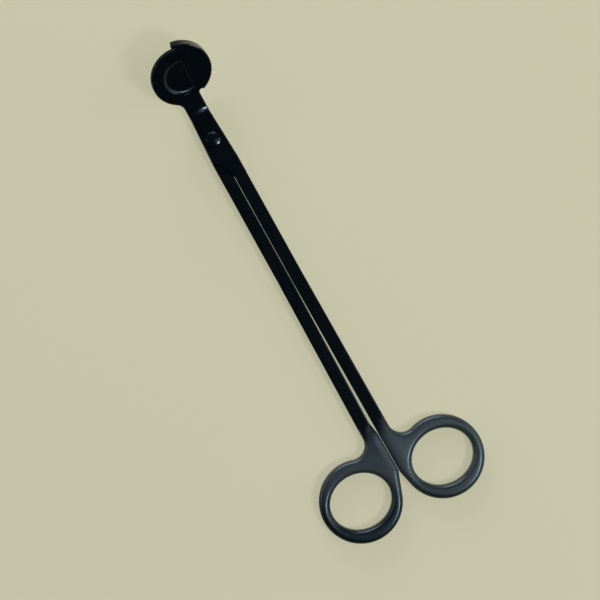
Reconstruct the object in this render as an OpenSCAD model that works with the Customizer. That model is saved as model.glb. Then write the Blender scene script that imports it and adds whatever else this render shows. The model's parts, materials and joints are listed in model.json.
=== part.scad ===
// Wick trimmer: two crossed levers on one rivet, with a round cutting head bent up from the shanks.
// X runs along the shanks towards the head, Z is up, and the trimmer lies closed on the plane Z = 0.

/* [Finger rings] */
// Radius of the finger hole along the shanks
ring_hole_r = 9.5; // [8:0.1:11]
// Stretch of the finger hole across the shanks
hole_stretch = 1.14; // [1:0.01:1.2]
// Width of the ring's band, on the line through its middle along the shanks
ring_band = 4.9; // [4:0.05:6]
// Rounding of the edges of rings and webs
handle_round = 1.6; // [0.8:0.05:2]
// Distance from the end of the shank to the middle of the ring
web_len = 23.8; // [20:0.1:30]
// Distance of the ring from the line of the shank's inner side
ring_gap = 0.9; // [0.4:0.05:2]
// Distance before the ring's middle at which the web's inner side turns towards the ring
heel_lead = 2.7; // [1:0.1:5]
// Radius of the hollow curve between shank and ring
web_fillet_r = 5; // [3:0.1:8]

/* [Shanks] */
// Distance from the rivet to the end of the shank
shank_len = 109; // [80:0.5:140]
// Width of one shank, seen from above
shank_w = 4.5; // [3.6:0.1:5]
// Thickness of a shank
shank_t = 3.8; // [3:0.1:4.2]
// Rounding of the shank's long edges
shank_round = 0.35; // [0.2:0.05:1]
// Gap from the middle line to a shank, beside the rivet
slit_near = 0.05; // [0.05:0.01:0.2]
// Gap from the middle line to a shank, beside the web
slit_far = 0.47; // [0.35:0.01:0.8]
// Distance from the rivet to the point where the shanks begin to spread
spread_start = 55; // [30:0.5:60]
// Length of the swelling from the shank to a thicker end
swell_len = 4; // [2:0.5:6]

/* [Closing stop] */
// Distance from the end of the shank to the stop
stop_start = 1.5; // [0:0.5:4]
// Length over which the stop rises from the web
stop_lead = 5; // [2:0.5:8]
// Length of the stop's straight side
stop_len = 14; // [8:0.5:15]

/* [Lap joint] */
// Thickness of each lap plate, neck and head plate
plate_t = 2.2; // [1.9:0.05:2.6]
// Space between the two lap plates, which the washer fills
lap_gap = 0.5; // [0.45:0.01:0.8]
// Radius of the hollow shoulder where a shank runs out from under the other lever
shoulder_r = 9; // [7:0.1:12]
// Distance from the rivet to the point where the slit opens
slit_start = 15; // [13:0.1:20]
// Distance from the rivet to the point where the lap plates are at their widest
lap_run = 9; // [6:0.1:12]
// Bevel along the edges of plates, necks and the head
plate_bevel = 0.35; // [0.1:0.05:0.6]

/* [Neck and bend] */
// Width of the neck
neck_w = 7.3; // [6.4:0.1:8]
// Distance from the rivet to the start of the bend
bend_start = 9.1; // [7:0.1:14]
// Angle of the bend
bend_angle = 45; // [30:1:50]
// Radius of the bend on the upper face
bend_r = 5; // [3:0.1:6]
// Hollow radius between the head and the neck
neck_fillet_r = 4; // [2:0.1:6]
// Length of the lower lever's neck before it narrows
neck_run = 2; // [1:0.1:3]

/* [Cutting head] */
// Radius of the round head
head_r = 10.8; // [9.8:0.1:12]
// Distance from the end of the bend to the middle of the head
head_reach = 12.1; // [11.5:0.1:16]
// Distance of the head's middle from the middle line
head_offset = 1.2; // [0.5:0.05:2]
// Distance of the cutting edge from the middle line
edge_offset = 3.1; // [2.8:0.05:3.4]
// Radius of the round dish at its upper edge
dish_r = 6.95; // [5.5:0.05:8]
// Depth of the dish
dish_depth = 1.15; // [0.6:0.05:1.3]
// Lean of the dish's wall at its upper edge, from which it curves into the floor
dish_lean = 20; // [10:1:30]
// Overlap of the two cutting edges when closed
edge_overlap = 0.9; // [0.4:0.05:1.2]
// Width of the bevel along the dish's straight edge
edge_bevel = 0.05; // [0.05:0.05:0.5]
// Width by which the lower half's side slopes back under its cutting edge
edge_relief = 0.75; // [0.3:0.05:1]
// Depth of the lower half below the neck that carries it
rim_deep = 1.35; // [0.5:0.05:2]
// Radius of the notch between the lower half and its neck
notch_r = 1.1; // [0.5:0.05:1.3]

/* [Rivet] */
// Radius of the rivet's shank
rivet_r = 1.5; // [1.2:0.05:2]
// Radius of the rivet's domed head
rivet_head_r = 2.5; // [2.2:0.05:3]
// Height of the straight edge of the rivet's head
rivet_rim = 0.2; // [0.1:0.05:0.5]
// Height of the dome above that edge
rivet_dome = 0.5; // [0.4:0.05:1.2]
// Radius of the countersunk tail
rivet_tail_r = 2.4; // [2.1:0.05:2.8]
// Outer radius of the washer
washer_r = 3.3; // [2.8:0.1:3.4]

/* [Fits] */
// Running clearance round the rivet
rivet_clear = 0.05; // [0.02:0.01:0.1]
// Clearance between faces that slide over each other
slide_clear = 0.04; // [0.02:0.01:0.06]
// Space between the two blades
blade_clear = 0.15; // [0.12:0.01:0.2]
// Clearance between edges that pass each other
edge_clear = 0.3; // [0.15:0.01:0.5]
// Clearance round the shoulders of the lap joint
shoulder_clear = 0.15; // [0.1:0.01:0.3]
// Space between the closing stop and the other web
stop_clear = 0.15; // [0.1:0.01:0.3]

/* [Hidden] */
$fn = 96;

// Facets to a rounded corner, and to the rivet's dome
corner_steps = 6;
dome_steps = 10;
// Depth by which a cutter passes a face
pass = 1;
// Overlap that keeps a fillet from only grazing what it joins
nip = 0.02;
// Length over which joined forms run into each other
sink = 2;
// Distance by which the stop's far edge stays inside the web
stop_inset = 0.4;
// Largest share of a wall's width that a rounded edge may take
round_share = 0.46;

// The joint's stack, with its middle plane at height 0 while the levers are built
stack_t = 2 * plate_t + lap_gap;
half_t = stack_t / 2;
half_gap = lap_gap / 2;

// Ring and web, in a frame whose X axis is the shank's inner side and whose origin is the end of the shank
ring_outer_r = ring_hole_r + ring_band;
ring_side = ring_outer_r - ring_hole_r * hole_stretch;
ring_y = ring_outer_r + ring_gap;
edge_r = min(handle_round, round_share * min(ring_side, stack_t, shank_w));
fillet_y = shank_w + web_fillet_r - nip;
fillet_span = ring_outer_r + web_fillet_r - nip;
fillet_x = -web_len + sqrt(pow(fillet_span, 2) - pow(ring_y - fillet_y, 2));

// Shank and lap plate
shank_start = shoulder_r - slit_start;
shank_edge = slit_near + shank_w;
shank_splay = atan((slit_far - slit_near + nip) / (shank_len - spread_start));
spread_len = shank_len - spread_start + swell_len / 2;
near_len = shank_start + spread_start + sink / 2;
lap_taper = atan((shank_edge - neck_w / 2) / (bend_start + lap_run));

// The closing stop lies along the other lever's web
stop_x = -stop_start - stop_lead;
stop_y = stop_clear - 2 * (slit_far - stop_x * sin(shank_splay));
stop_w = shank_w - stop_y - stop_inset;
stop_turn = 2 * shank_splay;
lead_turn = atan((nip - stop_y) / stop_lead);

// The bend and the head, in a frame that turns with the bend
bend_z = half_t + bend_r;
upper_top = -bend_r;
upper_under = upper_top - plate_t;
lower_top = upper_under - lap_gap;
lower_under = lower_top - plate_t;
dish_floor = upper_top - dish_depth;
dish_curve = dish_depth / (1 - sin(dish_lean));
dish_flat_r = dish_r - dish_curve * cos(dish_lean);
dish_mid_r = (dish_r + dish_flat_r) / 2;
pad_under = lower_top + blade_clear;
head_y = -head_offset;
edge_y = -edge_offset;
edge_len = 2 * sqrt(pow(dish_mid_r, 2) - pow(edge_y - head_y, 2));
blade_y = edge_y + edge_overlap;
blade_under = lower_under - rim_deep;
notch_y = -neck_w / 2 - notch_r + nip;
notch_x = head_reach - sqrt(pow(head_r, 2) - pow(notch_y - head_y, 2));
upper_neck_end = head_reach - dish_r - sink / 2;
lower_neck_end = head_reach - dish_r;
neck_fillet_y = neck_w / 2 + neck_fillet_r - nip;
neck_fillet_span = head_r + neck_fillet_r - nip;
neck_fillet_x = head_reach - sqrt(pow(neck_fillet_span, 2) - pow(neck_fillet_y - head_y, 2));
head_rim = head_r - plate_bevel;
upper_section = neck_section(bend_r, bend_r + plate_t);
lower_section = neck_section(-lower_top, -lower_under);

// The trimmer's ends, and the shift that centres it over the plane it lies on
foot_y = blade_y - edge_relief - head_y;
side_y = foot_y + edge_relief * plate_bevel / (lower_top - blade_under);
tip_side = bend_start + (head_reach + sqrt(pow(head_r, 2) - pow(min(side_y, 0), 2))) * cos(bend_angle)
    - (blade_under + plate_bevel) * sin(bend_angle);
tip_foot = bend_start + (head_reach + sqrt(pow(head_rim, 2) - pow(min(foot_y, 0), 2))) * cos(bend_angle)
    - blade_under * sin(bend_angle);
tail_x = -shank_len - web_len * cos(shank_splay) + ring_y * sin(shank_splay) - ring_outer_r;
shift = [-(max(tip_side, tip_foot) + tail_x) / 2, 0, half_t];

steel_black = [0.06, 0.065, 0.075];
rivet_black = [0.12, 0.125, 0.135];
washer_grey = [0.3, 0.3, 0.31];

function corner(x, y, r, from) =
    [for (i = [0:corner_steps]) let (a = from + 90 * i / corner_steps) [x + r * cos(a), y + r * sin(a)]];

function round_rect(w, h, r) = concat(
    corner(w / 2 - r, h / 2 - r, r, 0),
    corner(r - w / 2, h / 2 - r, r, 90),
    corner(r - w / 2, r - h / 2, r, 180),
    corner(w / 2 - r, r - h / 2, r, 270)
);

// A neck's section with bevelled corners, between two distances from the bend's axis
function neck_section(near, far) = [
    [near, neck_w / 2 - plate_bevel],
    [near + plate_bevel, neck_w / 2],
    [far - plate_bevel, neck_w / 2],
    [far, neck_w / 2 - plate_bevel],
    [far, plate_bevel - neck_w / 2],
    [far - plate_bevel, -neck_w / 2],
    [near + plate_bevel, -neck_w / 2],
    [near, plate_bevel - neck_w / 2]
];

// A bar with rounded long edges, from x back by its length, with its near side on the line y
module round_bar(x, y, length, w, t, r) {
    translate([x, y + w / 2, 0])
        rotate([0, -90, 0])
            linear_extrude(length)
                polygon(round_rect(t, w, r));
}

// A long cutter that bevels the edge through the origin along X
module edge_cut(length, bevel) {
    rotate([45, 0, 0])
        cube([length, bevel * sqrt(2), bevel * sqrt(2)], center = true);
}

// Places a ring and its web at the end of the shank on the +Y side
module at_web() {
    translate([-shank_len, slit_far, 0])
        rotate([0, 0, -shank_splay])
            children();
}

// A thick bar of width w with its near side on the line y, which swells out of the shank
module swelled_bar(x, y, length, w) {
    difference() {
        round_bar(x, y, length, w, stack_t, edge_r);
        for (side = [0, 1])
            mirror([0, 0, side])
                rotate([90, 0, 0])
                    linear_extrude(4 * shank_w, center = true)
                        polygon([
                            [pass, shank_t / 2 - nip],
                            [0, shank_t / 2 - nip],
                            [-swell_len, half_t],
                            [-swell_len, half_t + pass],
                            [pass, half_t + pass]
                        ]);
    }
}

// A round cutter with flaring ends, which leaves a rounded edge
module hollow(r) {
    flare = r + edge_r;
    land = half_t - edge_r;
    rotate_extrude()
        polygon(concat(
            [[0, half_t + pass], [flare, half_t + pass]],
            corner(flare, land, edge_r, 90),
            corner(flare, -land, edge_r, 180),
            [[flare, -half_t - pass], [0, -half_t - pass]]
        ));
}

// The ring before its hole is cut, as a disc with rounded edges
module ring_disc() {
    rim = ring_outer_r - edge_r;
    land = half_t - edge_r;
    rotate_extrude()
        polygon(concat(
            [[0, -half_t]],
            corner(rim, -land, edge_r, 270),
            corner(rim, land, edge_r, 0),
            [[0, half_t]]
        ));
}

// The web that fills the corner between a ring and its bar
module web() {
    difference() {
        linear_extrude(stack_t, center = true)
            polygon([
                [fillet_x, shank_w / 2],
                [fillet_x, fillet_y],
                [-web_len, ring_y],
                [-web_len, shank_w / 2]
            ]);
        translate([fillet_x, fillet_y, 0])
            hollow(web_fillet_r);
    }
}

// A bar that runs from a point of the inner side on to the ring
module run_in(x, y) {
    aim_r = ring_outer_r - nip;
    lead = x + web_len;
    reach = ring_y - y;
    span = sqrt(pow(lead, 2) + pow(reach, 2));
    turn = acos(aim_r / span) - atan(lead / reach);
    translate([x, y, 0])
        rotate([0, 0, -turn])
            round_bar(0, 0, sqrt(pow(span, 2) - pow(aim_r, 2)), shank_w, stack_t, edge_r);
}

// A finger ring with its web, on the +Y side, and with what else is given to stand beside the web
module handle() {
    at_web()
        difference() {
            union() {
                translate([-web_len, ring_y, 0])
                    ring_disc();
                web();
                swelled_bar(0, 0, web_len - heel_lead, shank_w);
                run_in(heel_lead - web_len, 0);
                children();
            }
            translate([-web_len, ring_y, 0])
                scale([1, hole_stretch, 1])
                    hollow(ring_hole_r);
        }
}

// The pad beside one web that meets the other web and stops the closing
module closing_stop() {
    translate([-stop_start, nip, 0])
        rotate([0, 0, lead_turn])
            swelled_bar(0, 0, stop_lead / cos(lead_turn), shank_w - stop_inset);
    translate([stop_x, stop_y, 0])
        rotate([0, 0, stop_turn])
            round_bar(0, 0, stop_len, stop_w, stack_t, edge_r);
    run_in(stop_x - stop_len * cos(stop_turn), stop_y - stop_len * sin(stop_turn));
}

// A shank on the +Y side, which narrows beside the rivet and spreads towards its ring
module shank() {
    difference() {
        round_bar(shank_start, slit_near, near_len, shank_w - 2 * nip, shank_t - 2 * nip, shank_round);
        linear_extrude(stack_t, center = true)
            polygon([
                [-lap_run, shank_edge],
                [bend_start, neck_w / 2],
                [bend_start, 2 * shank_edge],
                [-lap_run, 2 * shank_edge]
            ]);
    }
    translate([-spread_start, slit_near - nip, 0])
        rotate([0, 0, -shank_splay])
            round_bar(0, 0, spread_len, shank_w, shank_t, shank_round);
}

// A lap plate from above, grown all round, for a lever with its shank on the +Y side
module lap_plan(grow) {
    difference() {
        polygon([
            [bend_start, -neck_w / 2 - grow],
            [bend_start, neck_w / 2 + grow],
            [-lap_run, shank_edge + grow],
            [-slit_start, shank_edge + grow],
            [-slit_start, -shank_edge - grow],
            [-lap_run, -shank_edge - grow]
        ]);
        translate([-slit_start, slit_near - shoulder_r])
            circle(r = shoulder_r - grow);
    }
}

// The lap plate of the lower lever, with the slope by which it runs out into its shank
module lap_plate() {
    difference() {
        translate([0, 0, -half_t])
            linear_extrude(plate_t)
                lap_plan(0);
        for (side = [0, 1])
            mirror([0, side, 0]) {
                translate([bend_start, neck_w / 2, -half_t])
                    rotate([0, 0, -lap_taper])
                        edge_cut(4 * slit_start, plate_bevel);
                translate([-slit_start, shank_edge, -half_t])
                    edge_cut(2 * slit_start, plate_bevel);
            }
    }
    translate([0, shank_edge - shank_round / 2, 0])
        rotate([90, 0, 0])
            linear_extrude(shank_w - shank_round)
                polygon([
                    [-slit_start + sink, -half_gap],
                    [-slit_start + sink, -half_t],
                    [-slit_start, -half_t],
                    [-slit_start - swell_len, nip - shank_t / 2],
                    [-slit_start - swell_len, -half_gap]
                ]);
}

// Everything of a lever that lies flat, as the lower lever has it, with what is given beside its web
module flat_lever() {
    handle()
        children();
    lap_plate();
    difference() {
        shank();
        translate([0, 0, -half_gap])
            linear_extrude(stack_t)
                mirror([0, 1])
                    lap_plan(shoulder_clear);
    }
}

// Places the head's forms in the frame that turns with the bend
module in_head() {
    translate([bend_start, 0, bend_z])
        rotate([0, -bend_angle, 0])
            children();
}

// A neck: round the bend, and straight on to the length given
module neck(section, length) {
    translate([bend_start, 0, bend_z])
        rotate([90, 0, 0])
            rotate([0, 0, -90])
                rotate_extrude(angle = bend_angle)
                    polygon(section);
    in_head()
        rotate([0, 90, 0])
            linear_extrude(length)
                polygon(section);
}

// A block that takes in all of the head on the +Y side of the dish's straight edge
module dish_side() {
    translate([head_reach, edge_y + 2 * head_r, upper_under])
        cube([4 * head_r, 4 * head_r, 4 * stack_t], center = true);
}

// A round plate at the head's middle, with bevelled edges
module head_disc(z, t) {
    translate([head_reach, head_y, z])
        rotate_extrude()
            polygon([
                [0, 0],
                [head_rim, 0],
                [head_r, plate_bevel],
                [head_r, t - plate_bevel],
                [head_rim, t],
                [0, t]
            ]);
}

// The hollow curve from the neck to the dished half
module neck_fillet() {
    flare = neck_fillet_r + plate_bevel;
    difference() {
        translate([0, 0, upper_under])
            linear_extrude(plate_t)
                polygon([
                    [neck_fillet_x, neck_w / 2 - sink],
                    [neck_fillet_x, neck_fillet_y],
                    [head_reach, head_y]
                ]);
        translate([neck_fillet_x, neck_fillet_y, 0])
            rotate_extrude()
                polygon([
                    [0, upper_top + pass],
                    [flare, upper_top + pass],
                    [flare, upper_top],
                    [neck_fillet_r, upper_top - plate_bevel],
                    [neck_fillet_r, upper_under - pass],
                    [0, upper_under - pass]
                ]);
    }
}

// The round dish as a cutter, whose wall curves into its floor
module dish() {
    wall = [
        for (i = [0:corner_steps])
            let (a = (90 - dish_lean) * i / corner_steps)
                [dish_flat_r + dish_curve * sin(a), dish_curve * (1 - cos(a))]
    ];
    rotate_extrude()
        polygon(concat(
            [[0, 0]],
            wall,
            [[dish_r + pass * tan(dish_lean), dish_depth + pass], [0, dish_depth + pass]]
        ));
}

// The dished half of the head, in the head's frame
module dish_half() {
    difference() {
        union() {
            neck_fillet();
            intersection() {
                union() {
                    head_disc(upper_under, plate_t);
                    translate([head_reach, head_y, pad_under])
                        cylinder(h = plate_t / 2, r = dish_r - edge_clear);
                }
                dish_side();
            }
        }
        translate([head_reach, head_y, dish_floor])
            dish();
        translate([head_reach, edge_y, dish_floor])
            edge_cut(edge_len, edge_bevel);
    }
}

// What is taken off the lower lever's neck so that it clears the blade pad of the other lever
module lower_neck_cut() {
    translate([0, 0, lower_under - pass])
        linear_extrude(plate_t + 2 * pass)
            polygon([
                [neck_run, neck_w],
                [neck_run, neck_w / 2],
                [head_reach - dish_r - edge_clear, blade_y],
                [head_reach, blade_y],
                [head_reach, neck_w]
            ]);
}

// The lower half of the head, with a side that slopes back under its cutting edge, in the head's frame
module blade_half() {
    difference() {
        head_disc(blade_under, lower_top - blade_under);
        translate([head_reach - 2 * head_r, 0, 0])
            rotate([90, 0, 90])
                linear_extrude(4 * head_r)
                    polygon([
                        [blade_y, lower_top],
                        [blade_y - edge_relief, blade_under],
                        [blade_y - edge_relief, blade_under - pass],
                        [2 * head_r, blade_under - pass],
                        [2 * head_r, lower_top + pass],
                        [blade_y, lower_top + pass]
                    ]);
        translate([notch_x, notch_y, blade_under - pass])
            cylinder(h = stack_t + 2 * pass, r = notch_r);
    }
}

// The lever on top: its ring is on the -Y side and its half of the head on the +Y side
module upper_lever() {
    color(steel_black)
        translate(shift)
            difference() {
                union() {
                    rotate([180, 0, 0])
                        flat_lever();
                    neck(upper_section, upper_neck_end);
                    in_head()
                        dish_half();
                }
                cylinder(h = 2 * stack_t, r = rivet_r + rivet_clear, center = true);
            }
}

// The lever below: its ring and the closing stop are on the +Y side and its half of the head on the -Y side
module lower_lever() {
    color(steel_black)
        translate(shift)
            difference() {
                union() {
                    flat_lever()
                        closing_stop();
                    difference() {
                        neck(lower_section, lower_neck_end);
                        in_head()
                            lower_neck_cut();
                    }
                    in_head()
                        blade_half();
                }
                cylinder(h = 2 * stack_t, r = rivet_r, center = true);
                translate([0, 0, -half_t])
                    cylinder(h = rivet_tail_r - rivet_r, r1 = rivet_tail_r, r2 = rivet_r);
            }
}

// The rivet: domed on top, peened flush into the countersink below
module pivot_rivet() {
    seat = half_t + slide_clear;
    dome_r = (pow(rivet_head_r, 2) + pow(rivet_dome, 2)) / (2 * rivet_dome);
    dome_angle = asin(rivet_head_r / dome_r);
    dome_base = seat + rivet_rim + rivet_dome - dome_r;
    dome = [
        for (i = [0:dome_steps])
            let (a = dome_angle * (1 - i / dome_steps)) [dome_r * sin(a), dome_base + dome_r * cos(a)]
    ];
    profile = [
        [0, -half_t],
        [rivet_tail_r, -half_t],
        [rivet_r, rivet_tail_r - rivet_r - half_t],
        [rivet_r, seat],
        [rivet_head_r, seat]
    ];
    color(rivet_black)
        translate(shift)
            rotate_extrude()
                polygon(concat(profile, dome));
}

// The washer that holds the lap plates apart
module spacer_washer() {
    color(washer_grey)
        translate(shift)
            translate([0, 0, -half_gap])
                difference() {
                    cylinder(h = lap_gap - slide_clear, r = washer_r);
                    translate([0, 0, -pass])
                        cylinder(h = lap_gap + 2 * pass, r = rivet_r + rivet_clear);
                }
}

upper_lever();
lower_lever();
pivot_rivet();
spacer_washer();
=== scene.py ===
# %% [markdown]
# # A black wick trimmer, dressed and lit
#
# The trimmer is a pair of long steel levers on one rivet, coated black all over. Its shapes come
# ready-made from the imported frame, in metres, so this lesson is about finish and light: how a
# black tool is told from a black hole. The answer is that gloss, not colour, draws it. We give the
# shanks, the finger rings and the rims of the head their own gloss, and place soft boxes where the
# real tool catches its glints.

# %% Load the frame
import json
import math

import bpy
from mathutils import Matrix, Vector

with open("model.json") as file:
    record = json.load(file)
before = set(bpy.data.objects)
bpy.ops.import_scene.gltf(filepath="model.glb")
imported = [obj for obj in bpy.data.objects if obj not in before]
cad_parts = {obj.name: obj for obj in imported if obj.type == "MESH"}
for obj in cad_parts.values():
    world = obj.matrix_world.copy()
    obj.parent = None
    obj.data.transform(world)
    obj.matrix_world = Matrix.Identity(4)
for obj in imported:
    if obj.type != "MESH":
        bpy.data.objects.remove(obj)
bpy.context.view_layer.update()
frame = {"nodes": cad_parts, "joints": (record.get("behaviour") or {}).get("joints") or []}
levers = [frame["nodes"]["upper_lever"], frame["nodes"]["lower_lever"]]
rivet = frame["nodes"]["pivot_rivet"]
washer = frame["nodes"]["spacer_washer"]
pivot = Vector(frame["joints"][0]["pos_m"])

# %% [markdown]
# ## Writing nodes as sums
#
# A finish is a small web of nodes. Wiring each one by hand hides the idea, so a thin wrapper round
# a socket lets us write `1 - mask` or `grain * 0.3` and adds the Math nodes for us. Any other node
# comes from one method, which takes the node's type, its settings and what goes into its sockets.
# The same wrapper serves materials, the world and the little geometry tree further down.


# %% The node writer
class Wire:
    """A socket that can be added to, taken from, multiplied and divided."""

    def __init__(self, nodes, socket):
        self.nodes = nodes
        self.socket = socket

    def maths(self, operation, first, second):
        sockets = {0: first, 1: second}
        return self.nodes.add("ShaderNodeMath", {"operation": operation}, sockets)["Value"]

    def __add__(self, other):
        return self.maths("ADD", self, other)

    def __radd__(self, other):
        return self.maths("ADD", other, self)

    def __sub__(self, other):
        return self.maths("SUBTRACT", self, other)

    def __rsub__(self, other):
        return self.maths("SUBTRACT", other, self)

    def __mul__(self, other):
        return self.maths("MULTIPLY", self, other)

    def __rmul__(self, other):
        return self.maths("MULTIPLY", other, self)

    def __truediv__(self, other):
        return self.maths("DIVIDE", self, other)

    def __rtruediv__(self, other):
        return self.maths("DIVIDE", other, self)


class Nodes:
    """A node tree that hands out wires."""

    # A Mix node has sockets for every kind of data, so those in use are told by their places.
    MIX_COLOURS = {"first": 6, "second": 7, "result": 2}
    MIX_VECTORS = {"first": 4, "second": 5, "result": 1}

    def __init__(self, tree):
        self.tree = tree

    def add(self, kind, settings=None, sockets=None):
        """Makes a node, sets it up, fills its sockets and returns its outputs as wires."""
        node = self.tree.nodes.new(kind)
        for name, value in (settings or {}).items():
            setattr(node, name, value)
        for key, value in (sockets or {}).items():
            if isinstance(value, Wire):
                self.tree.links.new(value.socket, node.inputs[key])
            else:
                node.inputs[key].default_value = value
        return Outputs(self, node)

    def smooth_step(self, value, low, high):
        """0 below low, 1 above high, and a soft slope between them."""
        settings = {"interpolation_type": "SMOOTHSTEP"}
        sockets = {"Value": value, "From Min": low, "From Max": high}
        return self.add("ShaderNodeMapRange", settings, sockets)["Result"]

    def noise(self, place, scale, detail):
        """Soft random spots between 0 and 1."""
        sockets = {"Vector": place, "Scale": scale, "Detail": detail}
        return self.add("ShaderNodeTexNoise", {}, sockets)["Fac"]

    def mix(self, settings, places, factor, first, second):
        """A Mix node, with its sockets for one kind of data filled."""
        sockets = {0: factor, places["first"]: first, places["second"]: second}
        return self.add("ShaderNodeMix", settings, sockets)[places["result"]]

    def blend(self, factor, first, second, blend_type="MIX"):
        """A colour between two colours, or the first one multiplied by the second."""
        settings = {"data_type": "RGBA", "blend_type": blend_type}
        return self.mix(settings, self.MIX_COLOURS, factor, first, second)

    def blend_normals(self, factor, first, second):
        """A direction between two directions."""
        return self.mix({"data_type": "VECTOR"}, self.MIX_VECTORS, factor, first, second)

    def vectors(self, operation, first, second, output="Vector"):
        """One step of vector arithmetic."""
        sockets = {0: first, 1: second}
        return self.add("ShaderNodeVectorMath", {"operation": operation}, sockets)[output]

    def blend_shaders(self, factor, first, second):
        """A surface that is partly one shader and partly another."""
        return self.add("ShaderNodeMixShader", {}, {0: factor, 1: first, 2: second})["Shader"]


class Outputs:
    """A node's outputs, by name or by place."""

    def __init__(self, nodes, node):
        self.nodes = nodes
        self.node = node

    def __getitem__(self, key):
        return Wire(self.nodes, self.node.outputs[key])


def new_material(name):
    """An empty node material, and its tree."""
    material = bpy.data.materials.new(name)
    material.use_nodes = True
    material.node_tree.nodes.clear()
    return material, Nodes(material.node_tree)


def dress(piece, material):
    """Gives a piece one material in place of those that it came with."""
    piece.data.materials.clear()
    piece.data.materials.append(material)


print("node writer ready")

# %% [markdown]
# ## Camera
#
# The picture looks straight down on the closed trimmer, which lies slanted with its head at the
# upper left. A Track To constraint could aim the camera, but it leaves the slant open. A camera's
# matrix is its own right, up and backward directions, so we write those three down, and a slant on
# the page is a turn of the first two. The lens follows from how wide a strip of the table the
# picture shows.

# %% Camera
PICTURE_WIDTH = 0.2055
CAMERA_HEIGHT = 0.43
SENSOR = 36.0
SLANT = math.radians(29.0)
PIVOT_TO_MIDDLE = Vector((-0.0623, 0.00075, 0))
LOOK_AT = pivot + PIVOT_TO_MIDDLE
CLIP_NEAR = 0.01
CLIP_FAR = 20.0

page_right = Vector((-math.sin(SLANT), -math.cos(SLANT), 0))
page_up = Vector((math.cos(SLANT), -math.sin(SLANT), 0))
page_out = Vector((0, 0, 1))

lens = bpy.data.cameras.new("camera")
lens.sensor_width = SENSOR
lens.lens = SENSOR * CAMERA_HEIGHT / PICTURE_WIDTH
lens.clip_start = CLIP_NEAR
lens.clip_end = CLIP_FAR
camera = bpy.data.objects.new("camera", lens)
turn = Matrix((page_right, page_up, page_out)).transposed().to_4x4()
camera.matrix_world = Matrix.Translation(LOOK_AT + CAMERA_HEIGHT * page_out) @ turn
bpy.context.scene.collection.objects.link(camera)
bpy.context.scene.camera = camera
bpy.context.scene.view_settings.view_transform = "Standard"
print("camera", round(lens.lens, 1), "mm lens at", CAMERA_HEIGHT, "m")

# %% [markdown]
# ## Table
#
# The trimmer lies on a plain, warm grey-green sheet. A sheet that is only lit would be paler under
# each lamp, and one that only glows would let the trimmer float. So to the camera, and in
# reflections, most of the sheet's colour is its own even tone, and the rest is lit as usual, which
# keeps a faint shadow under the trimmer.

# %% Table
TABLE_SIZE = 12.0
TABLE_DROP = 0.00005
SHEET_COLOUR = (0.571, 0.565, 0.402, 1)
SHADOW_SHARE = 0.3

sheet_finish, t = new_material("plain_sheet")
rays = t.add("ShaderNodeLightPath")
in_sight = rays["Is Camera Ray"] + rays["Is Glossy Ray"] + rays["Is Transmission Ray"]
seen = t.smooth_step(in_sight, 0, 1)
lit = t.add("ShaderNodeBsdfDiffuse", {}, {"Color": SHEET_COLOUR})["BSDF"]
even = t.add("ShaderNodeEmission", {}, {"Color": SHEET_COLOUR})["Emission"]
tone = t.blend_shaders(seen * (1 - SHADOW_SHARE), lit, even)
t.add("ShaderNodeOutputMaterial", {}, {"Surface": tone})

half = TABLE_SIZE / 2
ends = [(-half, -half), (half, -half), (half, half), (-half, half)]
sheet_mesh = bpy.data.meshes.new("table_sheet")
sheet_mesh.from_pydata([(x, y, -TABLE_DROP) for x, y in ends], [], [(0, 1, 2, 3)])
table_sheet = bpy.data.objects.new("table_sheet", sheet_mesh)
dress(table_sheet, sheet_finish)
bpy.context.scene.collection.objects.link(table_sheet)
print("table", TABLE_SIZE, "m wide")

# %% [markdown]
# ## Light
#
# A black tool shows only what it mirrors. One large lamp overhead would be simple, but the flat
# tops would mirror it and turn grey, so nothing bright stands straight above the shanks. Low boxes
# beyond the head and on both sides light the sheet and draw the edges. A small strong one on the
# lower right makes the round glint on the rivet and the streak across the bend, with a weaker,
# wider one beside it. A box nearer the top greys the satin webs, and one beyond the head traces
# the wall of the dish.

# %% Soft boxes
along_tool = Vector((1, 0, 0))


def soft_box(name, right, up, out, width, height, power):
    """A rectangular lamp, placed by directions on the page and aimed at the trimmer."""
    lamp = bpy.data.lights.new(name, "AREA")
    lamp.shape = "RECTANGLE"
    lamp.size = width
    lamp.size_y = height
    lamp.energy = power
    box = bpy.data.objects.new(name, lamp)
    place = LOOK_AT + right * page_right + up * page_up + out * page_out
    back = (place - LOOK_AT).normalized()
    side = (along_tool - back * along_tool.dot(back)).normalized()
    aim = Matrix((side, back.cross(side), back)).transposed().to_4x4()
    box.matrix_world = Matrix.Translation(place) @ aim
    bpy.context.scene.collection.objects.link(box)
    print(name, "at", tuple(round(c, 2) for c in place))


soft_box("far_box", right=-0.35, up=0.98, out=0.38, width=0.4, height=0.9, power=10.5)
soft_box("left_box", right=-0.95, up=0.1, out=0.5, width=0.9, height=0.5, power=2.5)
soft_box("right_box", right=0.95, up=0.3, out=0.4, width=0.8, height=0.5, power=2.8)
soft_box("dish_box", right=-0.05, up=0.75, out=0.62, width=0.3, height=0.4, power=0.6)
soft_box("key_box", right=0.5, up=-0.26, out=0.83, width=0.18, height=0.18, power=4.6)
soft_box("side_box", right=0.6, up=0.05, out=0.8, width=0.4, height=0.4, power=1.0)
soft_box("top_box", right=0.3, up=-0.1, out=1.0, width=0.3, height=0.3, power=0.5)

# %% [markdown]
# ## The dim room
#
# Between the boxes the trimmer mirrors the room. A bright sky would grey every face, so overhead
# the world is a very dim, cool tone, just enough for the faces to be black and not empty. Close to
# the horizon it takes the sheet's own even tone, as if the sheet were hung up far behind, so a low
# view meets a pale backdrop first. A taller one would be mirrored by the bent head and grey it.
# The height of a direction is its Z, and it mixes the two.

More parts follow.
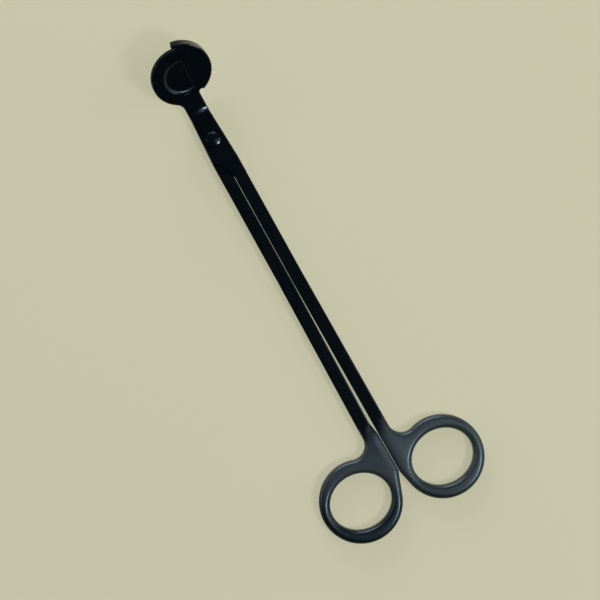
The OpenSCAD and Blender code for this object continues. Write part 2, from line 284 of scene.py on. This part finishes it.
# %% Dim room
ROOM_COLOUR = (0.75, 0.9, 1, 1)
ROOM_STRENGTH = 0.015
BACKDROP_ZONE = (0.025, 0.07)

world = bpy.data.worlds.new("dim_room")
world.use_nodes = True
world.node_tree.nodes.clear()
w = Nodes(world.node_tree)
room = w.add("ShaderNodeBackground", {}, {
    "Color": ROOM_COLOUR, "Strength": ROOM_STRENGTH})["Background"]
backdrop = w.add("ShaderNodeBackground", {}, {
    "Color": SHEET_COLOUR, "Strength": 1 - SHADOW_SHARE})["Background"]
gaze = w.add("ShaderNodeTexCoord")["Generated"]
gaze_height = w.add("ShaderNodeSeparateXYZ", {}, {0: gaze})["Z"]
sky = w.blend_shaders(w.smooth_step(gaze_height, *BACKDROP_ZONE), backdrop, room)
w.add("ShaderNodeOutputWorld", {}, {"Surface": sky})
bpy.context.scene.world = world
print("room strength", ROOM_STRENGTH)

# %% [markdown]
# ## Soft edges without touching the solids
#
# The frame's meshes come in patches, one for each face of the solid, so a highlight breaks at
# every seam. Merging by hand would change the solids. A small geometry tree, used as a modifier,
# sews the patches together instead and lets light run smoothly over every edge that turns less
# than an edge should show. The solids themselves stay as they are.

# %% Sewing modifier
SEW_DISTANCE = 1e-6
SHARP_ANGLE = math.radians(24)

sewing = bpy.data.node_groups.new("sew_patches", "GeometryNodeTree")
sewing.interface.new_socket("Geometry", in_out="INPUT", socket_type="NodeSocketGeometry")
sewing.interface.new_socket("Geometry", in_out="OUTPUT", socket_type="NodeSocketGeometry")
g = Nodes(sewing)
loose = g.add("NodeGroupInput")["Geometry"]
sewn = g.add("GeometryNodeMergeByDistance", {}, {
    "Geometry": loose, "Distance": SEW_DISTANCE})["Geometry"]
bare = g.add("GeometryNodeRemoveAttribute", {}, {
    "Geometry": sewn, "Name": "custom_normal"})["Geometry"]
angle = g.add("GeometryNodeInputMeshEdgeAngle")["Unsigned Angle"]
gentle = g.add("ShaderNodeMath", {"operation": "LESS_THAN"}, {0: angle, 1: SHARP_ANGLE})[0]
creased = g.add("GeometryNodeSetShadeSmooth", {"domain": "EDGE"}, {
    "Geometry": bare, "Shade Smooth": gentle})["Geometry"]
smooth = g.add("GeometryNodeSetShadeSmooth", {"domain": "FACE"}, {
    "Geometry": creased, "Shade Smooth": True})["Geometry"]
g.add("NodeGroupOutput", {}, {"Geometry": smooth})
pieces = [*levers, rivet, washer]
for piece in pieces:
    piece.modifiers.new("sew_patches", "NODES").node_group = sewing
print("sewing on", len(pieces), "nodes")

# %% [markdown]
# ## Where each finish lies on a lever
#
# Both levers are steel under one thin black coat. The flat shanks and plates are glossy, the rings
# and webs are satin, and the ground rims of the head are matt. A painted image could say where,
# but a place on the tool is enough: most masks are soft steps along X. On the rings the satin's
# black is painted paler towards the webs and the right-hand ring: a painted sheen for the light
# that falls from the right.
#
# On the head a direction says more than a place. A flat face points the way that the head faces, a
# rim points across it, and the hollow corner of the dish lies in between. The square of the cosine
# tells them apart on both sides of the plate. The rim of the tip is shined on its right, where it
# mirrors the pale sheet.

# %% Finish zones
RING_ZONE = (-0.0608, -0.0560)
SWELL_ZONE = (-0.0580, -0.0510)
# Where the painted sheen rises along X, and its slant towards the right-hand ring
PAINTED_SHEEN_ZONE = (-0.0880, -0.0730)
PAINTED_SHEEN_SLANT = 0.5
PLATE_ZONE = (0.036, 0.040)
BEND_START = (0.0610, 0.0665)
BEND_END = (0.0672, 0.0700)
HEAD_ZONE = (0.072, 0.075)
HEAD_TILT = math.radians(45)
HEAD_OUT = Vector((-math.sin(HEAD_TILT), 0, math.cos(HEAD_TILT)))
RIM_FACING = (0.1, 0.5)
SHINED_ZONE = (-0.0090, -0.0040)
HOLLOW_FACING = (0.6, 0.75)
FLAT_FACING = (0.93, 0.99)

coating, t = new_material("lever_black")
place = t.add("ShaderNodeTexCoord")["Object"]
axes = t.add("ShaderNodeSeparateXYZ", {}, {0: place})
surface_out = t.add("ShaderNodeNewGeometry")["Normal"]
cosine = t.vectors("DOT_PRODUCT", surface_out, HEAD_OUT, "Value")
facing = cosine * cosine
satin = 1 - t.smooth_step(axes["X"], *RING_ZONE)
swell = 1 - t.smooth_step(axes["X"], *SWELL_ZONE)
# Painted sheen: the satin is painted paler towards the webs and the right-hand side, where the
# light falls
painted_sheen = t.smooth_step(axes["X"] - PAINTED_SHEEN_SLANT * axes["Y"], *PAINTED_SHEEN_ZONE)
bend = t.smooth_step(axes["X"], *BEND_START) * (1 - t.smooth_step(axes["X"], *BEND_END))
head = t.smooth_step(axes["X"], *HEAD_ZONE)
plates = t.smooth_step(axes["X"], *PLATE_ZONE) * (1 - head)
rims = head * (1 - t.smooth_step(facing, *RIM_FACING))
shined = rims * (1 - t.smooth_step(axes["Y"], *SHINED_ZONE))
flat = t.smooth_step(facing, *FLAT_FACING)
hollow = head * t.smooth_step(facing, *HOLLOW_FACING) * (1 - flat)
print("satin below x =", RING_ZONE[0], "and rims above x =", HEAD_ZONE[0])

# %% [markdown]
# ## Relief of the coat
#
# Lacquer on forged steel is never quite flat: it has clouds as wide as a fingertip, a fine ripple
# and a finer grain, which three noise textures give. Around the rivet the plates' edges are
# rounded a little by the coat, which a Bevel node shows without any geometry. The bend is slightly
# crowned, so that its streak of light gathers at one side; a bump that falls with Y squared does
# that.

# %% Relief
CLOUD_SCALE = 90.0
RIPPLE_SCALE = 700.0
GRAIN_SCALE = 5200.0
CLOUD_DETAIL = 4.0
FINE_DETAIL = 2.0
EDGE_ROUND = 0.00015
EDGE_SAMPLES = 6
CROWN = 28.0

clouds = t.noise(place, CLOUD_SCALE, CLOUD_DETAIL)
ripple = t.noise(place, RIPPLE_SCALE, FINE_DETAIL)
grain = t.noise(place, GRAIN_SCALE, FINE_DETAIL)
rounded = t.add("ShaderNodeBevel", {"samples": EDGE_SAMPLES}, {"Radius": EDGE_ROUND})["Normal"]
soft_edge = t.blend_normals(plates, surface_out, rounded)
crown = -CROWN * bend * axes["Y"] * axes["Y"]
crowned = t.add("ShaderNodeBump", {}, {
    "Strength": 1.0, "Distance": 1.0, "Height": crown, "Normal": soft_edge})["Normal"]
print("relief ready, crown", CROWN)

# %% [markdown]
# ## Gloss, satin, matt and shined
#
# The four finishes are one lacquer with different gloss, so one function makes them all: a worn
# black, a roughness that drifts with the clouds and the grain, and a fine bump. Mixing whole
# shaders keeps each coat's strength of reflection its own, where mixing only roughness would not.
# The gloss is rougher on the bend, in the dish's corner and where a shank swells into its web,
# because a forging hammer leaves those curves less even.

# %% Coats
GLOSS_BLACK = (0.0026, 0.0044, 0.006, 1)
SATIN_BLACK = (0.003, 0.0065, 0.009, 1)
# The satin black lightened by painted sheen
SHEEN_PAINTED_BLACK = (0.025, 0.034, 0.038, 1)
WORN_TONE = (0.6, 0.62, 0.65, 1)
GLOSS_TINT = (0.66, 0.8, 1, 1)
PLAIN_TINT = (1, 1, 1, 1)
SATIN_TINT = (0.6, 0.84, 1, 1)
WEAR = 0.35
CLOUD_DRIFT = 0.06
GRAIN_DRIFT = 0.04
NOISE_MEAN = 0.5
SKIN_STRENGTH = 0.1
SKIN_DEPTH = 0.00005


def coat(black, tint, shine, roughness, height):
    """One coat of black lacquer, with the tint of its shine and its own fine relief."""
    worn = t.blend(WEAR * clouds, black, WORN_TONE, "MULTIPLY")
    skin = t.add("ShaderNodeBump", {}, {
        "Strength": SKIN_STRENGTH, "Distance": SKIN_DEPTH,
        "Height": height, "Normal": crowned})["Normal"]
    uneven = CLOUD_DRIFT * (clouds - NOISE_MEAN) + GRAIN_DRIFT * (grain - NOISE_MEAN)
    return t.add("ShaderNodeBsdfPrincipled", {}, {
        "Base Color": worn, "Roughness": roughness + uneven,
        "Specular IOR Level": shine, "Specular Tint": tint, "Normal": skin})["BSDF"]


print("coats drift by", CLOUD_DRIFT, "and", GRAIN_DRIFT)

# %% Coats on the levers
LACQUER_SHINE = 0.4
MATT_SHINE = 0.06
SHINED_SHINE = 1.0
GLOSS_ROUGHNESS = 0.09
BEND_ROUGHER = 0.1
SWELL_ROUGHER = 0.28
HOLLOW_ROUGHER = 0.24
SATIN_ROUGHNESS = 0.31
MATT_ROUGHNESS = 0.45
SHINED_ROUGHNESS = 0.14
SMOOTH_RIPPLE, SMOOTH_GRAIN = 0.04, 0.03
ROUGH_RIPPLE, ROUGH_GRAIN = 0.4, 0.6

smooth_skin = SMOOTH_RIPPLE * ripple + SMOOTH_GRAIN * grain
rough_skin = ROUGH_RIPPLE * ripple + ROUGH_GRAIN * grain
# Ring colour with painted sheen towards the webs and the right-hand ring
ring_black_with_painted_sheen = t.blend(painted_sheen, SATIN_BLACK, SHEEN_PAINTED_BLACK)
curves = BEND_ROUGHER * bend + SWELL_ROUGHER * swell + HOLLOW_ROUGHER * hollow
gloss_coat = coat(GLOSS_BLACK, GLOSS_TINT, LACQUER_SHINE, GLOSS_ROUGHNESS + curves, smooth_skin)
satin_coat = coat(ring_black_with_painted_sheen, SATIN_TINT, LACQUER_SHINE, SATIN_ROUGHNESS, rough_skin)
matt_coat = coat(GLOSS_BLACK, GLOSS_TINT, MATT_SHINE, MATT_ROUGHNESS, rough_skin)
shined_coat = coat(GLOSS_BLACK, PLAIN_TINT, SHINED_SHINE, SHINED_ROUGHNESS, smooth_skin)
faces = t.blend_shaders(satin, gloss_coat, satin_coat)
ground = t.blend_shaders(rims, faces, matt_coat)
whole = t.blend_shaders(shined, ground, shined_coat)
t.add("ShaderNodeOutputMaterial", {}, {"Surface": whole})
for lever in levers:
    dress(lever, coating)
print("coated", len(levers), "levers")

# %% [markdown]
# ## Rivet
#
# The rivet's low dome has the same black coat, polished where thumbs and cloths pass over it. Its
# glint is small and round, and a faceted dome would break it. More facets are one way, but the
# dome is cut from a ball, so at any point the true direction is simply away from the ball's
# middle.

# %% Rivet finish
DOME_RADIUS = 0.0065
DOME_HEIGHT = 0.0005
FOOT_HEIGHT = 0.00005
RIVET_DARK = (0.002, 0.0034, 0.0046, 1)
RIVET_PALE = (0.0032, 0.0054, 0.0074, 1)
RIVET_ROUGHNESS = 0.155
RIVET_DRIFT = 0.04
RIVET_CLOUD_SCALE = 900.0
RIVET_CLOUD_DETAIL = 3.0
RIVET_SKIN_STRENGTH = 0.02
RIVET_SKIN_DEPTH = 0.00004

dome_top = max(corner.co.z for corner in rivet.data.vertices)
dome_foot = dome_top - DOME_HEIGHT
ball_middle = Vector((pivot.x, pivot.y, dome_top - DOME_RADIUS))

polish, t = new_material("rivet_black")
place = t.add("ShaderNodeTexCoord")["Object"]
height = t.add("ShaderNodeSeparateXYZ", {}, {0: place})["Z"]
on_dome = t.smooth_step(height, dome_foot, dome_foot + FOOT_HEIGHT)
from_middle = t.vectors("SUBTRACT", place, ball_middle)
round_out = t.add("ShaderNodeVectorMath", {"operation": "NORMALIZE"}, {
    0: from_middle})["Vector"]
surface_out = t.add("ShaderNodeNewGeometry")["Normal"]
domed = t.blend_normals(on_dome, surface_out, round_out)
clouds = t.noise(place, RIVET_CLOUD_SCALE, RIVET_CLOUD_DETAIL)
skin = t.add("ShaderNodeBump", {}, {
    "Strength": RIVET_SKIN_STRENGTH, "Distance": RIVET_SKIN_DEPTH,
    "Height": clouds, "Normal": domed})["Normal"]
shell = t.add("ShaderNodeBsdfPrincipled", {}, {
    "Base Color": t.blend(clouds, RIVET_DARK, RIVET_PALE),
    "Roughness": RIVET_ROUGHNESS + RIVET_DRIFT * clouds,
    "Specular IOR Level": LACQUER_SHINE, "Specular Tint": GLOSS_TINT, "Normal": skin})["BSDF"]
t.add("ShaderNodeOutputMaterial", {}, {"Surface": shell})
dress(rivet, polish)
print("rivet dome", DOME_RADIUS, "m round")

# %% [markdown]
# ## Washer
#
# The washer lies hidden in the gap between the plates, and shows only when the part is taken apart.
# It is bare steel, and a lathe leaves rings on it, so a wave texture in rings round the pivot
# varies its grey and its gloss.

# %% Washer finish
STEEL_DARK = (0.28, 0.28, 0.29, 1)
STEEL_PALE = (0.36, 0.36, 0.37, 1)
STEEL_ROUGHNESS = 0.3
STEEL_DRIFT = 0.1
RING_SCALE = 2500.0
RING_WOBBLE = 1.5

steel, t = new_material("washer_steel")
place = t.add("ShaderNodeTexCoord")["Object"]
centred = t.vectors("SUBTRACT", place, pivot)
turned = t.add("ShaderNodeTexWave", {"wave_type": "RINGS", "rings_direction": "Z"}, {
    "Vector": centred, "Scale": RING_SCALE, "Distortion": RING_WOBBLE})["Fac"]
metal = t.add("ShaderNodeBsdfPrincipled", {}, {
    "Base Color": t.blend(turned, STEEL_DARK, STEEL_PALE), "Metallic": 1.0,
    "Roughness": STEEL_ROUGHNESS + STEEL_DRIFT * turned})["BSDF"]
t.add("ShaderNodeOutputMaterial", {}, {"Surface": metal})
dress(washer, steel)
print("washer turned round", tuple(round(c, 4) for c in pivot))
